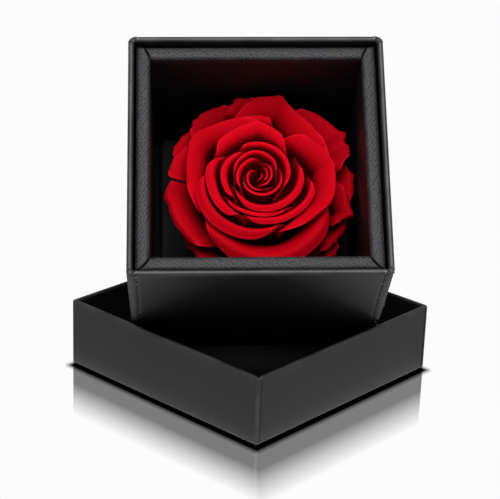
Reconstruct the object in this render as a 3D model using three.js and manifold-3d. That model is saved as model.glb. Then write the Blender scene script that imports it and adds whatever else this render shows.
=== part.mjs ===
// A preserved rose in a black gift box. The box leans forward in its own upturned lid,
// opening towards -Y, so that the flower faces the viewer.
// Millimetres, +Z up. The origin is the centre of the lid's outer face, on the surface it lies on.

import * as THREE from 'three';
import { mergeVertices } from 'three/addons/utils/BufferGeometryUtils.js';
import Module from 'manifold-3d';

const wasm = await Module();
wasm.setup();

// Clearance between pieces that touch
const GAP = 0.3;

// Lid: a shallow wrapped tray that slips over the box, here lying open side up
const LID_WIDTH = 104;
const LID_HEIGHT = 28;
const LID_WALL = 1.7;
const LID_BOARD = 2;
const LID_TURN = 45.25;

// Box: a deep wrapped tray
const BOX_WIDTH = 100;
const BOX_HEIGHT = 85;
const BOX_WALL = 2.2;

// Where the box leans: its lower front edge hangs just over the lid's board, and its four
// long edges rest on the four rims of the lid
const BOX_FOOT = new THREE.Vector3(1.88, 2.0, 7.5);
const BOX_TIP = 47.74;
const BOX_ROLL = -1.52;

// Collar: four padded strips that line the box, a groove clear of its walls, and stop short of
// its rim
const WELL_WIDTH = 83;
const COLLAR_THICKNESS = 5.4;
const COLLAR_TOP = BOX_HEIGHT - 3;
const COLLAR_OUTER_ROUND = 1.5;
const COLLAR_INNER_ROUND = 1.2;
const MITRE_GAP = 0.22;

// Insert: a folded card with a round hole that the rose sits in, loose in the collar
const CARD = 1.2;
const INSERT_WIDTH = 79.3;
const INSERT_TOP = 9.4;
const HOLE_RADIUS = 11.5;

// Rose: its axis stands at the middle of the insert
const ROSE_X = 1;
const PETAL_THICKNESS = 0.45;

// Facets of a petal: how many rows from its foot to its margin, and the widest angle of a column
const PETAL_ROWS = 5;
const COLUMN_ANGLE = 24;

// The share of a petal's width, at each side, over which it gets shorter
const SIDE_SHARE = 0.28;

// A petal's profile between its foot and its shoulder, as shares of the way outwards and upwards
const BELLY = [0.7, 0.3];
const CHEEK = [0.93, 0.68];

// The shoulder lies a flare inside the rim, and this far under the top beside half the flare
const SHOULDER_DROP = 0.6;
const SHOULDER_SLOPE = 0.5;

// The share of its flare that most petals keep at their two sides
const SIDES = [0.5, 0.5];

// Where a petal grows from the heart of the rose, by how far out the petal reaches:
// the inner petals start near its tip, the outer ones near its foot
const HEART_TOP = 46;
const HEART_TIP_RADIUS = 0.6;
const INNER_REACH = 20;
const INNER_SPREAD = 0.3;
const INNER_FALL = 0.85;
const OUTER_SPREAD = 0.15;
const OUTER_FALL = 0.45;
const FULL_HEIGHT = 62;
const LOW_PETAL_REACH = 0.9;

// The heart's foot: a cut stem, then the hip that widens through the insert's hole
const STEM_RADIUS = 4.2;
const STEM_TOP = 5.6;
const HIP_RADIUS = 8.6;
const HIP_FOOT = 8.4;
const OUTERMOST_RANK = 60;
const SEAT_CLEARANCE = PETAL_THICKNESS / 2 + GAP + 0.12;

// Petals, from the heart outwards. rim: pairs of azimuth in degrees, anticlockwise seen from
// above with 0 towards the box's right, and reach from the rose's axis. top: the height of the
// rim over the box's underside. flare: how wide the rim turns outwards. droop: how far its
// margin hangs below the top. crest: where the petal is highest, as a share of the flare inside
// the rim. cut: how much shorter the petal is at its two sides. lean: how much higher the second
// side stands than the middle. sides: the share of its flare that it keeps at its two sides.
const PETALS = [
  {
    name: 'petal_heart', top: 62.4, flare: 0.6, droop: 0.1, crest: 0.4, cut: [3, 2],
    rim: [[-120, 2.0], [-80, 1.7], [-29, 1.4], [30, 1.6], [60, 2.3]]
  },
  {
    name: 'petal_curl', top: 62.8, flare: 0.8, droop: 0.1, crest: 0.4, cut: [3, 2],
    rim: [[-83, 3.3], [-34, 3.3], [5, 3.6], [40, 4.1], [72, 4.9]]
  },
  {
    name: 'petal_bud_left', top: 62.8, flare: 1, droop: 0.2, crest: 0.4, cut: [2, 4],
    rim: [[112, 2.8], [139, 3.9], [165, 4.6], [190, 5.0], [216, 5.6], [250, 6.3], [290, 6.8], [330, 6.9]]
  },
  {
    name: 'petal_bud_right', top: 63.2, flare: 1, droop: 0.2, crest: 0.4, cut: [4, 2],
    rim: [[-110, 4.9], [-81, 4.8], [-48, 4.9], [-15, 5.2], [15, 5.5], [45, 6.0], [85, 6.3]]
  },
  {
    name: 'petal_bud_front', top: 63.4, flare: 1.2, droop: 0.3, crest: 0.5, cut: [4, 4],
    rim: [[168, 6.2], [202, 7.2], [229, 8.0], [266, 8.7], [298, 9.3], [331, 9.5], [368, 9.4], [388, 9.6]]
  },
  {
    name: 'petal_bud_back', top: 63.9, flare: 1.6, droop: 0.3, crest: 0.5, cut: [3, 4],
    rim: [
      [84, 7.6], [104, 7.7], [123, 7.9], [144, 8.2], [164, 8.6], [190, 9.2], [216, 10.2],
      [232, 11.0]
    ]
  },
  {
    name: 'petal_bud_outer', top: 64.1, flare: 1.4, droop: 0.3, crest: 0.5, cut: [5, 4],
    rim: [
      [-24, 8.0], [0, 7.8], [24, 8.0], [46, 8.8], [64, 9.4], [82, 10.0], [100, 10.6], [130, 10.6],
      [160, 10.7], [185, 10.8], [200, 11.0]
    ]
  },
  {
    name: 'petal_ring_left', top: 63.7, flare: 2.6, droop: 0.6, crest: 0.6, cut: [5, 6],
    rim: [
      [96, 12.2], [123, 13.2], [141, 13.9], [157, 14.7], [172, 15.2], [186, 15.2], [198, 15.1],
      [213, 15.1], [224, 15.3], [234, 15.7]
    ]
  },
  {
    name: 'petal_ring_back', top: 64.2, flare: 2, droop: 0.6, crest: 0.5, cut: [5, 6],
    rim: [
      [-60, 12.1], [-38, 12.0], [-15, 12.0], [8, 12.5], [28, 13.2], [50, 13.7], [75, 13.9],
      [100, 14.1], [113, 14.4], [124, 14.7], [132, 14.8]
    ]
  },
  {
    name: 'petal_ring_front', top: 63.2, flare: 3.2, droop: 0.9, crest: 0.65, cut: [5, 6],
    rim: [
      [196, 13.0], [211, 13.0], [231, 13.4], [250, 14.4], [271, 15.2], [288, 15.9], [305, 16.4],
      [322, 17.0], [338, 17.6], [353, 18.0], [367, 18.2], [380, 18.3], [393, 18.7]
    ]
  },
  {
    name: 'petal_ring_low', top: 62.2, flare: 1.6, droop: 0.6, crest: 0.5, cut: [6, 6],
    rim: [
      [205, 16.6], [215, 16.7], [226, 16.8], [240, 16.7], [256, 16.7], [270, 17.0], [284, 17.4],
      [298, 18.0], [311, 18.6], [320, 18.8]
    ]
  },
  {
    name: 'petal_ring_west', top: 63.4, flare: 4, droop: 1, crest: 0.7, cut: [7, 9],
    rim: [
      [137, 16.6], [151, 18.4], [161, 20.0], [172, 20.9], [184, 21.1], [196, 21.1], [210, 21.2],
      [224, 21.1], [236, 21.1], [246, 21.0], [254, 20.9]
    ]
  },
  {
    name: 'petal_ring_south', top: 62.6, flare: 3, droop: 1, crest: 0.6, cut: [8, 8],
    rim: [
      [243, 18.9], [250, 19.4], [259, 19.8], [270, 20.1], [282, 20.7], [295, 21.4], [310, 22.0],
      [325, 22.7], [339, 23.1], [349, 22.8], [357, 22.0], [366, 21.2]
    ]
  },
  {
    name: 'petal_cup_back', top: 64.4, flare: 5, droop: 0.3, crest: 0.12, cut: [6, 8],
    rim: [
      [30, 16.5], [43, 17.6], [54, 18.7], [64, 19.9], [74, 20.8], [84, 21.8], [91, 22.7],
      [99, 22.3], [109, 22.1], [119, 21.9], [128, 21.7], [137, 21.4], [146, 21.3], [156, 22.0],
      [166, 22.9]
    ]
  },
  {
    name: 'petal_cup_front', top: 61.8, flare: 5, droop: 2, crest: 0.75, cut: [9, 6],
    rim: [
      [170, 24.2], [177, 24.4], [185, 25.0], [195, 25.8], [206, 26.4], [216, 26.8], [228, 27.0],
      [240, 26.8], [252, 26.6], [264, 26.1], [275, 25.5], [286, 24.8], [297, 24.2]
    ]
  },
  {
    name: 'petal_wide_left', top: 60, flare: 7.4, droop: 0.7, crest: 0.14, cut: [9, 3], lean: -2.2,
    rim: [
      [70, 24.6], [80, 25.2], [88, 25.8], [100, 26.8], [110, 27.7], [121, 28.7], [132, 30.3],
      [141, 32.2], [149, 31.9], [157, 30.6], [167, 29.4], [178, 28.7], [188, 28.5], [200, 28.6],
      [210, 29.4]
    ]
  },
  {
    name: 'petal_wide_right', top: 61, flare: 8, droop: 0.8, crest: 0.14, cut: [3, 10],
    sides: [0.3, 0.5],
    rim: [
      [288, 26.2], [297, 26.2], [307, 26.4], [317, 27.1], [327, 28.2], [336, 29.8], [346, 30.7],
      [358, 30.7], [366, 30.8], [371, 31.2], [377, 30.0], [386, 28.6], [396, 27.2], [406, 26.2],
      [414, 25.1], [422, 23.6], [430, 22.2]
    ]
  },
  {
    name: 'petal_wide_front', top: 57.8, flare: 10, droop: 3.2, crest: 0.4, cut: [7, 9],
    sides: [0.75, 0.5],
    rim: [
      [214, 31.0], [225, 31.4], [236, 32.0], [246, 33.0], [257, 34.4], [270, 35.6], [283, 36.4],
      [294, 36.2], [303, 35.4], [312, 34.8], [322, 34.0], [331, 32.8], [339, 31.6], [347, 30.8]
    ]
  },
  {
    name: 'petal_wide_back', top: 58, flare: 9, droop: 1, crest: 0.14, cut: [8, 7], lean: -1.2,
    rim: [
      [6, 32.8], [14, 33.2], [28, 32.2], [39, 31.8], [48, 32.4], [55, 33.2], [63, 34.4],
      [70, 36.4], [75, 38.8], [80, 37.8], [86, 37.2], [90, 37.0], [94, 35.4], [100, 34.2],
      [107, 33.2], [114, 32.4]
    ]
  },
  {
    name: 'petal_tuck_back', top: 58.2, flare: 4, droop: 0.8, crest: 0.14, cut: [7, 7],
    rim: [[74, 27.4], [82, 28.4], [90, 28.8], [98, 28.7], [106, 28.5]]
  },
  {
    name: 'petal_side_west', top: 53.5, flare: 8, droop: 1.2, crest: 0.14, cut: [7, 2],
    sides: [0.7, 0.85],
    rim: [
      [136, 33.2], [142, 33.0], [147, 33.3], [152, 34.0], [158, 35.2], [164, 36.0], [170, 36.5],
      [174.5, 36.0]
    ]
  },
  {
    name: 'petal_skirt_west', top: 50.5, flare: 10.6, droop: 1.6, crest: 0.2, cut: [2, 11], lean: -1,
    sides: [1.25, 0.85],
    rim: [
      [175.7, 36.0], [180, 37.2], [186, 38.2], [190, 36.9], [195, 36.6], [201, 36.3], [208, 36.0],
      [215, 35.8], [222, 35.6], [230, 35.6], [238, 35.8]
    ]
  },
  {
    name: 'petal_skirt_north_west', top: 51, flare: 7, droop: 1, crest: 0.14, cut: [5, 6],
    rim: [
      [103, 39.8], [109, 39.4], [114, 39.2], [119, 39.8], [125, 39.9], [130, 39.4], [134, 38.2],
      [138, 37.0], [144, 36.6]
    ]
  },
  {
    name: 'petal_skirt_north', top: 54, flare: 5.5, droop: 1, crest: 0.2, cut: [4, 4],
    rim: [[87, 38.4], [93, 38.6], [98, 39.2], [102, 39.0], [106, 37.4], [111, 36.0]]
  },
  {
    name: 'petal_skirt_north_east', top: 52.5, flare: 10, droop: 1.6, crest: 0.14, cut: [6, 6],
    rim: [
      [13, 38.4], [18, 38.8], [21, 40.4], [25, 41.0], [29, 40.4], [33, 43.0], [37, 41.3],
      [45, 41.1], [52, 40.2], [58, 39.4], [64, 38.6], [70, 38.4]
    ]
  },
  {
    name: 'petal_skirt_south_east', top: 49, flare: 7, droop: 2, crest: 0.2, cut: [5, 6],
    rim: [
      [-28, 36.0], [-22, 36.4], [-19, 37.8], [-16, 39.6], [-11, 38.0], [-6, 36.8], [0, 36.0],
      [7, 35.6]
    ]
  },
  {
    name: 'petal_skirt_east', top: 45.5, flare: 7, droop: 1.5, crest: 0.2, cut: [5, 5],
    rim: [[-12, 38.4], [-5, 38.4], [0, 38.8], [5, 39.4], [9, 39.8], [12, 39.6], [16, 39.2], [23, 38.8]]
  },
  {
    name: 'petal_low_north_west', top: 46.5, flare: 6, droop: 1.5, crest: 0.2, cut: [4, 5],
    rim: [[128, 39.0], [135, 39.0], [141, 39.2], [146, 39.6], [151, 38.8], [158, 38.4]]
  },
  {
    name: 'petal_low_south_east', top: 42.5, flare: 5, droop: 2, crest: 0.2, cut: [4, 4],
    rim: [[-44, 36.6], [-36, 36.6], [-30, 37.2], [-25, 37.8], [-20, 38.2], [-14, 38.2]]
  },
  {
    name: 'petal_low_south_west', top: 43, flare: 7, droop: 2, crest: 0.2, cut: [4, 4],
    sides: [0.85, 0.7],
    rim: [[204, 34.4], [210, 35.0], [218, 35.4], [227, 35.7], [237, 36.0], [248, 36.0], [260, 36.0]]
  },
  {
    name: 'petal_low_south', top: 39.5, flare: 6, droop: 2, crest: 0.3, cut: [4, 4],
    rim: [[250, 38.8], [260, 38.9], [272, 39.0], [284, 38.6], [296, 37.8], [306, 37.2]]
  },
  {
    name: 'petal_low_front', top: 36.5, flare: 4.5, droop: 1.5, crest: 0.3, cut: [3, 3],
    rim: [[294, 39.6], [303, 39.0], [313, 38.4], [321, 38.4], [326, 39.0], [331, 38.4]]
  }
];

const WRAP_COLOUR = 0x232425;
const COLLAR_COLOUR = 0x4a4b4d;
const INSERT_COLOUR = 0x1c1c1e;
const HEART_COLOUR = 0x5a1a12;
const PETAL_COLOUR = 0xc8061c;

const radians = THREE.MathUtils.degToRad;

function material(color, roughness) {
  return new THREE.MeshStandardMaterial({ color, roughness, metalness: 0 });
}

// A named piece made from a geometry
function piece(name, geometry, color, roughness) {
  const mesh = new THREE.Mesh(geometry, material(color, roughness));
  mesh.name = name;
  return mesh;
}

function toSolid(geometry) {
  const bare = geometry.clone();
  bare.deleteAttribute('normal');
  bare.deleteAttribute('uv');
  const merged = mergeVertices(bare, 1e-4);
  return new wasm.Manifold(new wasm.Mesh({
    numProp: 3,
    vertProperties: new Float32Array(merged.attributes.position.array),
    triVerts: new Uint32Array(merged.index.array)
  }));
}

function toGeometry(solid) {
  const mesh = solid.getMesh();
  const geometry = new THREE.BufferGeometry();
  geometry.setAttribute('position', new THREE.BufferAttribute(mesh.vertProperties, mesh.numProp));
  geometry.setIndex(new THREE.BufferAttribute(mesh.triVerts, 1));
  geometry.computeVertexNormals();
  return geometry;
}

// A box from its two opposite corners
function block(low, high) {
  const size = high.map((value, axis) => value - low[axis]);
  const centre = high.map((value, axis) => (value + low[axis]) / 2);
  return new THREE.BoxGeometry(...size).translate(...centre);
}

// A square tray, open at the top, standing on z = 0
function tray(width, height, wall, board) {
  const half = width / 2;
  const inner = half - wall;
  const outside = toSolid(block([-half, -half, 0], [half, half, height]));
  const inside = toSolid(block([-inner, -inner, board], [inner, inner, height + 1]));
  return toGeometry(outside.subtract(inside));
}

// A folded card, open underneath, with a round hole in its top
function insertCard() {
  const half = new THREE.Vector2(INSERT_WIDTH / 2, WELL_WIDTH / 2 - 1.5 * GAP);
  const foot = BOX_WALL + GAP;
  const outside = toSolid(block([-half.x, -half.y, foot], [half.x, half.y, INSERT_TOP]));
  const low = [-half.x + CARD, -half.y + CARD, foot - 1];
  const high = [half.x - CARD, half.y - CARD, INSERT_TOP - CARD];
  const inside = toSolid(block(low, high));
  const hole = new THREE.CylinderGeometry(HOLE_RADIUS, HOLE_RADIUS, 4 * CARD, 32);
  hole.rotateX(Math.PI / 2).translate(0, 0, INSERT_TOP);
  return toGeometry(outside.subtract(inside).subtract(toSolid(hole)));
}

// One side of the collar: a strip with a rounded top edge whose ends are mitred.
// It is made for the right-hand side, its length along Y.
function collarStrip() {
  const inner = WELL_WIDTH / 2;
  const outer = inner + COLLAR_THICKNESS;
  const foot = BOX_WALL + GAP;
  const section = new THREE.Shape();
  section.moveTo(inner, foot);
  section.lineTo(outer, foot);
  const roundCorner = (x, radius, from, to) => {
    section.absarc(x, COLLAR_TOP - radius, radius, from, to);
  };
  section.lineTo(outer, COLLAR_TOP - COLLAR_OUTER_ROUND);
  roundCorner(outer - COLLAR_OUTER_ROUND, COLLAR_OUTER_ROUND, 0, Math.PI / 2);
  section.lineTo(inner + COLLAR_INNER_ROUND, COLLAR_TOP);
  roundCorner(inner + COLLAR_INNER_ROUND, COLLAR_INNER_ROUND, Math.PI / 2, Math.PI);
  section.closePath();
  const strip = new THREE.ExtrudeGeometry(section, {
    depth: 1, steps: 1, curveSegments: 3, bevelEnabled: false
  });
  // The section's x becomes X, its y becomes Z, and each end follows the 45 degree mitre
  const position = strip.attributes.position;
  for (let i = 0; i < position.count; i += 1) {
    const out = position.getX(i);
    const end = position.getZ(i) > 0.5 ? -1 : 1;
    position.setXYZ(i, out, end * (out - MITRE_GAP), position.getY(i));
  }
  return strip;
}

// Where a petal of this reach and height starts on the heart
function seat(reach, top) {
  const rank = reach + LOW_PETAL_REACH * Math.max(FULL_HEIGHT - top, 0);
  const inner = Math.min(rank, INNER_REACH);
  const outer = Math.max(rank - INNER_REACH, 0);
  return new THREE.Vector3(
    HEART_TIP_RADIUS + INNER_SPREAD * inner + OUTER_SPREAD * outer,
    HEART_TOP - INNER_FALL * inner - OUTER_FALL * outer,
    0
  );
}

// The petal's profile at one azimuth, as radius and height: seat, belly, cheek, shoulder, crest, margin
function petalProfile(reach, rank, top, flare, droop, crest) {
  const foot = seat(reach, rank);
  const shoulder = new THREE.Vector3(reach - flare, top - SHOULDER_SLOPE * flare - SHOULDER_DROP, 0);
  const between = ([outward, upward]) => new THREE.Vector3(
    THREE.MathUtils.lerp(foot.x, shoulder.x, outward),
    THREE.MathUtils.lerp(foot.y, shoulder.y, upward),
    0
  );
  return new THREE.CatmullRomCurve3([
    foot,
    between(BELLY),
    between(CHEEK),
    shoulder,
    new THREE.Vector3(reach - crest * flare, top, 0),
    new THREE.Vector3(reach, top - droop, 0)
  ], false, 'catmullrom', 0.5);
}

// How much shorter the petal is at this place across its width
function sideCut(across, cut) {
  const start = Math.max(1 - across / SIDE_SHARE, 0);
  const end = Math.max(1 - (1 - across) / SIDE_SHARE, 0);
  return cut[0] * start ** 2 + cut[1] * end ** 2;
}

// A petal: a thin curved sheet between an inner and an outer face
function petal({ rim, top, flare, droop, crest, cut, lean = 0, sides = SIDES }) {
  const rimCurve = new THREE.CatmullRomCurve3(
    rim.map(([azimuth, reach]) => new THREE.Vector3(azimuth, reach, 0)), false, 'catmullrom', 0.5
  );
  const spans = rim.length - 1;
  const width = rim[spans][0] - rim[0][0];
  const columns = spans * Math.ceil(width / spans / COLUMN_ANGLE);
  const rows = PETAL_ROWS;
  const fineness = 20;
  const positions = [];
  for (let column = 0; column <= columns; column += 1) {
    const across = column / columns;
    const { x: azimuth, y: reach } = rimCurve.getPoint(across);
    const sideHere = THREE.MathUtils.lerp(sides[0], sides[1], across);
    const flareHere = flare * THREE.MathUtils.lerp(sideHere, 1, Math.sin(Math.PI * across));
    const topHere = top + lean * (2 * across - 1);
    const profile = petalProfile(reach, top, topHere, flareHere, droop, crest);
    const lengths = profile.getLengths(rows * fineness);
    const whole = lengths[rows * fineness];
    const kept = 1 - sideCut(across, cut) / whole;
    for (let row = 0; row <= rows; row += 1) {
      const along = lengths[row * fineness] / whole * kept;
      const point = profile.getPointAt(along);
      const tangent = profile.getTangentAt(along);
      for (const side of [-0.5, 0.5]) {
        const radius = point.x + tangent.y * PETAL_THICKNESS * side;
        const height = point.y - tangent.x * PETAL_THICKNESS * side;
        positions.push(radius * Math.cos(radians(azimuth)), radius * Math.sin(radians(azimuth)), height);
      }
    }
  }
  const inner = (column, row) => 2 * (column * (rows + 1) + row);
  const outer = (column, row) => inner(column, row) + 1;
  const index = [];
  const quad = (a, b, c, d) => index.push(a, b, c, a, c, d);
  for (let c = 0; c < columns; c += 1) {
    for (let r = 0; r < rows; r += 1) {
      quad(outer(c, r), outer(c + 1, r), outer(c + 1, r + 1), outer(c, r + 1));
      quad(inner(c, r), inner(c, r + 1), inner(c + 1, r + 1), inner(c + 1, r));
    }
    quad(outer(c, 0), inner(c, 0), inner(c + 1, 0), outer(c + 1, 0));
    quad(outer(c, rows), outer(c + 1, rows), inner(c + 1, rows), inner(c, rows));
  }
  for (let r = 0; r < rows; r += 1) {
    quad(inner(0, r), outer(0, r), outer(0, r + 1), inner(0, r + 1));
    quad(outer(columns, r), inner(columns, r), inner(columns, r + 1), outer(columns, r + 1));
  }
  const geometry = new THREE.BufferGeometry();
  geometry.setAttribute('position', new THREE.Float32BufferAttribute(positions, 3));
  geometry.setIndex(index);
  geometry.computeVertexNormals();
  return geometry;
}

// The heart of the rose, from its cut stem through the hip to the tip that the bud grows from
function heart() {
  const innerSeat = seat(INNER_REACH, FULL_HEIGHT);
  const lowSeat = seat(OUTERMOST_RANK, FULL_HEIGHT);
  const profile = [
    [0, BOX_WALL + GAP],
    [STEM_RADIUS, BOX_WALL + GAP],
    [STEM_RADIUS, STEM_TOP],
    [HIP_RADIUS, HIP_FOOT],
    [lowSeat.x - SEAT_CLEARANCE, lowSeat.y],
    [innerSeat.x - SEAT_CLEARANCE, innerSeat.y],
    [0, HEART_TOP - GAP]
  ];
  const points = profile.map(([radius, height]) => new THREE.Vector2(radius, height));
  return new THREE.LatheGeometry(points, 20).rotateX(Math.PI / 2);
}

const object = new THREE.Group();

const lid = piece('lid', tray(LID_WIDTH, LID_HEIGHT, LID_WALL, LID_BOARD), WRAP_COLOUR, 0.5);
lid.rotation.z = radians(LID_TURN);
object.add(lid);

// The tipped box, built upright in its own frame and then leaned on its lower front edge
const leaning = new THREE.Group();
leaning.position.copy(BOX_FOOT);
leaning.rotation.set(radians(BOX_TIP), radians(BOX_ROLL), 0, 'YXZ');
object.add(leaning);
const upright = new THREE.Group();
upright.position.y = BOX_WIDTH / 2;
leaning.add(upright);

upright.add(piece('box', tray(BOX_WIDTH, BOX_HEIGHT, BOX_WALL, BOX_WALL), WRAP_COLOUR, 0.5));

['right', 'back', 'left', 'front'].forEach((side, turn) => {
  const strip = piece(`collar_${side}`, collarStrip(), COLLAR_COLOUR, 0.6);
  strip.rotation.z = turn * Math.PI / 2;
  upright.add(strip);
});

const insert = piece('insert', insertCard(), INSERT_COLOUR, 0.8);
insert.position.x = ROSE_X;
upright.add(insert);

const rose = new THREE.Group();
rose.position.x = ROSE_X;
upright.add(rose);
rose.add(piece('rose_heart', heart(), HEART_COLOUR, 0.9));
for (const shape of PETALS) {
  rose.add(piece(shape.name, petal(shape), PETAL_COLOUR, 0.7));
}

export default object;
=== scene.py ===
import math

import bpy
import numpy as np
from mathutils import Matrix, Vector


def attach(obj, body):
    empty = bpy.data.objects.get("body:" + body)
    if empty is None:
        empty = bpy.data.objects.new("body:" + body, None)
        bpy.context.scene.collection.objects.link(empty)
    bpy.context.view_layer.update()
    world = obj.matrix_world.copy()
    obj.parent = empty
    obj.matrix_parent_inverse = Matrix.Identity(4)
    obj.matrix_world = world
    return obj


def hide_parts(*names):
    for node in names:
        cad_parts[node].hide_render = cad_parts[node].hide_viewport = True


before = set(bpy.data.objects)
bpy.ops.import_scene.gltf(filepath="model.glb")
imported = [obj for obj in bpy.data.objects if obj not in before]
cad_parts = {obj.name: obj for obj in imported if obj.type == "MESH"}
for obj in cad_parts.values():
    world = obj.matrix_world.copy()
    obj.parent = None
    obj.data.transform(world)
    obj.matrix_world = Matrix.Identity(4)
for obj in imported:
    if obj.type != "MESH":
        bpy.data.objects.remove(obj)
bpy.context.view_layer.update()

MM = 0.001


# The studio: a polished white table top that carries the open lid and mirrors its foot, one large
# square softbox over and in front of it, and a room whose pale walls are lit and whose ceiling is
# dark. The table carries a painted contact shadow round the lid's foot and glows onto the scene as
# painted light, brightest near the lid as a painted pool of light. The camera looks down on the
# tipped box through a long lens.
CAMERA_PLACE = Vector((-31.55, -639.47, 294.43)) * MM
CAMERA_YAW = math.radians(2.716)
CAMERA_PITCH = math.radians(20.797)
CAMERA_ROLL = math.radians(-2.047)
CAMERA_LENS = 121.0
SOFTBOX_SIZE = 0.9
SOFTBOX_DISTANCE = 1.1
SOFTBOX_WAY = Vector((0.0, -0.530, 0.848))
SOFTBOX_AIM = Vector((0.0, 0.0, 0.09))
SOFTBOX_POWER = 11.5
WHITE = 0.97
WALL_LIGHT = 0.6
CEILING_LIGHT = 0.07
WALL_ANGLES = (math.radians(28), math.radians(42))
TABLE_SIZE = 12.0
TABLE_GLOSS = 0.83
MIRROR_FADE = (13.5, 32.0)
CONTACT_SHADOW_FADE = (0.2, 3.1)
CONTACT_SHADOW_SHIFT = 3.4
NEAR_GLOW = 0.76
FAR_GLOW = 0.42
GLOW_REACH = 9.0
LID_WIDTH = 104.0
LID_TURN = math.radians(45.25)


def look_matrix(place, yaw, pitch, roll):
    ahead = Vector((math.sin(yaw) * math.cos(pitch), math.cos(yaw) * math.cos(pitch), -math.sin(pitch)))
    right = Vector((math.cos(yaw), -math.sin(yaw), 0))
    down = ahead.cross(right)
    across = math.cos(roll) * right + math.sin(roll) * down
    downward = -math.sin(roll) * right + math.cos(roll) * down
    turn = Matrix((across, -downward, -ahead)).transposed()
    return Matrix.Translation(place) @ turn.to_4x4()


def new_material(name):
    made = bpy.data.materials.new(name)
    made.use_nodes = True
    tree = made.node_tree
    return made, tree, tree.nodes["Principled BSDF"]


def add_node(tree, kind, inputs=None, **settings):
    """A new node, with each input set to a value or joined to another node's output."""
    made = tree.nodes.new(kind)
    for key, value in settings.items():
        setattr(made, key, value)
    for key, value in (inputs or {}).items():
        if isinstance(value, bpy.types.NodeSocket):
            tree.links.new(value, made.inputs[key])
        else:
            made.inputs[key].default_value = value
    return made


def remap(tree, value, span, start, end, **settings):
    """A value that goes from start to end while another one crosses its span."""
    made = add_node(tree, "ShaderNodeMapRange", {
        "Value": value, "From Min": span[0], "From Max": span[1], "To Min": start, "To Max": end,
    }, **settings)
    return made.outputs["Result"]


def calculate(tree, operation, first, second):
    made = add_node(tree, "ShaderNodeMath", {0: first, 1: second}, operation=operation)
    return made.outputs["Value"]


scene = bpy.context.scene
scene.view_settings.view_transform = "Standard"

camera = bpy.data.objects.new("camera", bpy.data.cameras.new("camera"))
camera.data.lens = CAMERA_LENS
camera.data.sensor_width = 36.0
camera.data.clip_start = 0.01
camera.matrix_world = look_matrix(CAMERA_PLACE, CAMERA_YAW, CAMERA_PITCH, CAMERA_ROLL)
scene.collection.objects.link(camera)
scene.camera = camera

softbox = bpy.data.objects.new("softbox", bpy.data.lights.new("softbox", "AREA"))
softbox.data.size = SOFTBOX_SIZE
softbox.data.energy = SOFTBOX_POWER
softbox.location = SOFTBOX_AIM + SOFTBOX_WAY * SOFTBOX_DISTANCE
softbox.rotation_euler = SOFTBOX_WAY.to_track_quat("Z", "Y").to_euler()
scene.collection.objects.link(softbox)


def pale_room():
    """White to the eye, pale where surfaces mirror its walls, and a dim glow for all the rest."""
    made = bpy.data.worlds.new("pale room")
    made.use_nodes = True
    tree = made.node_tree
    way = add_node(tree, "ShaderNodeTexCoord")
    split = add_node(tree, "ShaderNodeSeparateXYZ", {"Vector": way.outputs["Generated"]})
    span = [math.sin(angle) for angle in WALL_ANGLES]
    wall = remap(tree, split.outputs["Z"], span, WALL_LIGHT, CEILING_LIGHT, interpolation_type="SMOOTHSTEP")
    ray = add_node(tree, "ShaderNodeLightPath")
    mirrored = add_node(tree, "ShaderNodeMix", {
        "Factor": ray.outputs["Is Glossy Ray"], "A": CEILING_LIGHT, "B": wall,
    })
    seen = calculate(tree, "MAXIMUM", ray.outputs["Is Camera Ray"], ray.outputs["Is Singular Ray"])
    strength = add_node(tree, "ShaderNodeMix", {
        "Factor": seen, "A": mirrored.outputs["Result"], "B": WHITE,
    })
    backdrop = tree.nodes["Background"]
    backdrop.inputs["Color"].default_value = (1, 1, 1, 1)
    tree.links.new(strength.outputs["Result"], backdrop.inputs["Strength"])
    return made


def distance_fade(tree, distance, span, start, end):
    """A value that goes from start to end as the distance crosses the span, in millimetres."""
    return remap(tree, distance, (span[0] * MM, span[1] * MM), start, end)


def beyond_lid(tree, shift):
    """How far a point of the table lies outside the lid's square, moved by shift to the viewer."""
    place = add_node(tree, "ShaderNodeTexCoord")
    turned = add_node(tree, "ShaderNodeMapping", {
        "Vector": place.outputs["Object"], "Location": (0, -shift * MM, 0), "Rotation": (0, 0, LID_TURN),
    }, vector_type="TEXTURE")
    folded = add_node(tree, "ShaderNodeVectorMath", {0: turned.outputs["Vector"]}, operation="ABSOLUTE")
    beyond = add_node(tree, "ShaderNodeVectorMath", {
        0: folded.outputs["Vector"], 1: (LID_WIDTH / 2 * MM, LID_WIDTH / 2 * MM, 0),
    }, operation="SUBTRACT")
    outside = add_node(tree, "ShaderNodeVectorMath", {0: beyond.outputs["Vector"]}, operation="MAXIMUM")
    return outside.outputs["Vector"]


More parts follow.
